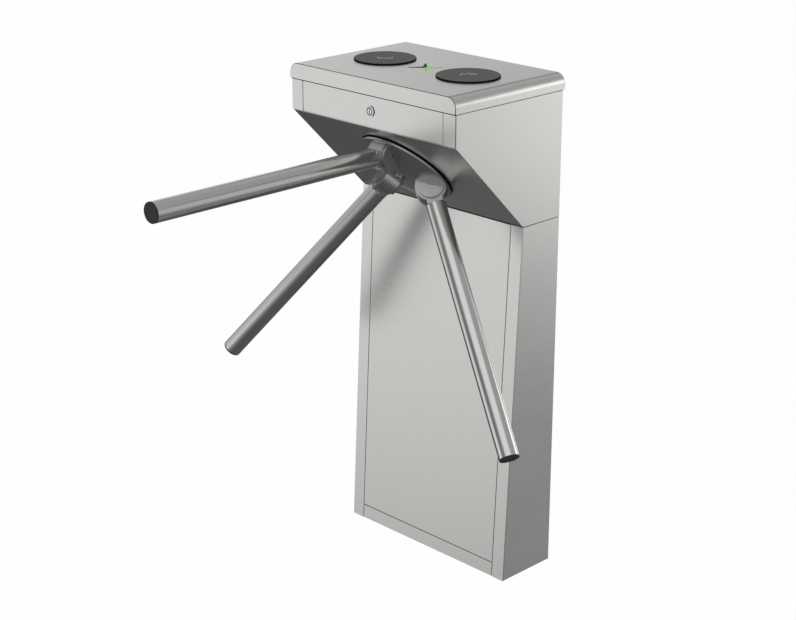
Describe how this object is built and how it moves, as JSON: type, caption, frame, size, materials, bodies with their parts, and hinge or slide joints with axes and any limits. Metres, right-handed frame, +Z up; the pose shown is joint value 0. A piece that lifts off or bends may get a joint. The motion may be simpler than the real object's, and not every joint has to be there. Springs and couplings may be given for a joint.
{
  "type": "tripod turnstile",
  "caption": "Waist-high tripod turnstile: slim steel post, overhanging head, slanted hub with arms on a cone, lid with round reader faces and an arrow light.",
  "frame": {"origin": "centre of the floor bolt pattern, on the floor", "axes": "+X along the wide front, to the right seen from the passage; -Y from the post into the passage; +Z up"},
  "size_m": [0.8028, 0.8025, 1.003],
  "materials": {
    "brushed_sheet": "satin, brushed along the width",
    "slant_sheet": "satin, brushed along the width",
    "arm_tube": "satin, polished lengthwise",
    "hub_casting": "fine cast, dark grey coat",
    "hardware": "zinc plated",
    "dark_steel": "matt grey primer",
    "rubber": "matt",
    "black_plastic": "fine texture",
    "reader_face": "smooth black",
    "lamp_green": "lit, clear cover",
    "lamp_dark": "unlit, smoked cover",
    "circuit_board": "green solder mask",
    "lock_zinc": "bright plated",
    "case_metal": "plain folded case"
  },
  "bodies": {
    "cabinet": {"base_plate": "dark_steel", "cable_grommet": "rubber", "post_left_side": "brushed_sheet", "post_right_side": "brushed_sheet", "back_panel": "brushed_sheet", "post_front_panel": "brushed_sheet", "kick_strip": "brushed_sheet", "uprights": "dark_steel", "head_left_side": "brushed_sheet", "head_right_side": "brushed_sheet", "head_front_panel": "brushed_sheet", "slant_panel": "slant_sheet", "hub_seal": "rubber", "lid_buffers": "rubber", "hinge_leaves": "hardware", "lock_body": "lock_zinc", "mechanism_plate": "hardware", "mechanism_brackets": "hardware", "bearing_housing": "dark_steel", "bearings": "hardware", "housing_screws": "hardware", "pawl_posts": "hardware", "solenoids": "black_plastic", "damper_body": "black_plastic", "position_sensor": "black_plastic", "control_board": "circuit_board", "power_supply": "case_metal", "wiring_loom": "rubber"},
    "lid": {"lid": "brushed_sheet", "left_reader": "reader_face", "right_reader": "reader_face", "left_arrow_lens": "lamp_dark", "right_arrow_lens": "lamp_green", "lid_boards": "circuit_board", "lid_hinge_leaves": "hardware", "lid_catch": "hardware"},
    "lock_plug": {"lock_barrel": "lock_zinc", "lock_cam": "hardware"},
    "rotor": {"hub": "hub_casting", "hub_screw": "hardware", "main_shaft": "hardware", "main_gear": "hardware", "lock_wheel": "hardware", "sensor_disc": "black_plastic", "shaft_nut": "hardware", "arm_pins": "hardware", "right_knuckle": "hub_casting", "right_arm": "arm_tube", "right_arm_cap": "black_plastic", "left_knuckle": "hub_casting", "left_arm": "arm_tube", "left_arm_cap": "black_plastic"},
    "drop_arm": {"top_knuckle": "hub_casting", "top_arm": "arm_tube", "top_arm_cap": "black_plastic"},
    "right_pawl": {"right_pawl": "dark_steel"},
    "left_pawl": {"left_pawl": "dark_steel"},
    "right_plunger": {"right_plunger": "hardware"},
    "left_plunger": {"left_plunger": "hardware"},
    "damper_pinion": {"damper_pinion": "hardware"}
  },
  "joints": [
    {"name": "hub_turn", "type": "hinge", "parent": "cabinet", "child": "rotor", "pos_m": [0, -0.1265, 0.8175], "axis": [0, -0.7071, -0.7071], "continuous": true},
    {"name": "arm_drop", "type": "hinge", "parent": "rotor", "child": "drop_arm", "pos_m": [0, -0.18213, 0.85186], "axis": [1, 0, 0], "range_deg": [0, 90]},
    {"name": "damper_turn", "type": "hinge", "parent": "cabinet", "child": "damper_pinion", "pos_m": [0, -0.00983, 0.84932], "axis": [0, -0.7071, -0.7071], "continuous": true},
    {"name": "right_pawl_swing", "type": "hinge", "parent": "cabinet", "child": "right_pawl", "pos_m": [0.076, -0.07842, 0.93629], "axis": [0, 0.7071, 0.7071], "range_deg": [0, 7], "stiffness_Nm_per_rad": 5},
    {"name": "left_pawl_swing", "type": "hinge", "parent": "cabinet", "child": "left_pawl", "pos_m": [-0.076, -0.07842, 0.93629], "axis": [0, -0.7071, -0.7071], "range_deg": [0, 7], "stiffness_Nm_per_rad": 5},
    {"name": "right_plunger_slide", "type": "slide", "parent": "cabinet", "child": "right_plunger", "axis": [1, 0, 0], "range_m": [0, 0.0027]},
    {"name": "left_plunger_slide", "type": "slide", "parent": "cabinet", "child": "left_plunger", "axis": [-1, 0, 0], "range_m": [0, 0.0027]},
    {"name": "lock_turn", "type": "hinge", "parent": "cabinet", "child": "lock_plug", "pos_m": [0, -0.219, 0.94], "axis": [0, 1, 0], "range_deg": [0, 90]},
    {"name": "lid_open", "type": "hinge", "parent": "cabinet", "child": "lid", "pos_m": [0, 0.0754, 0.966], "axis": [-1, 0, 0], "range_deg": [0, 80]}
  ],
  "couplings": [
    {"joint": "damper_turn", "follows": "hub_turn", "ratio": -3},
    {"joint": "right_plunger_slide", "follows": "right_pawl_swing", "m_per_rad": 0.022},
    {"joint": "left_plunger_slide", "follows": "left_pawl_swing", "m_per_rad": 0.022}
  ]
}
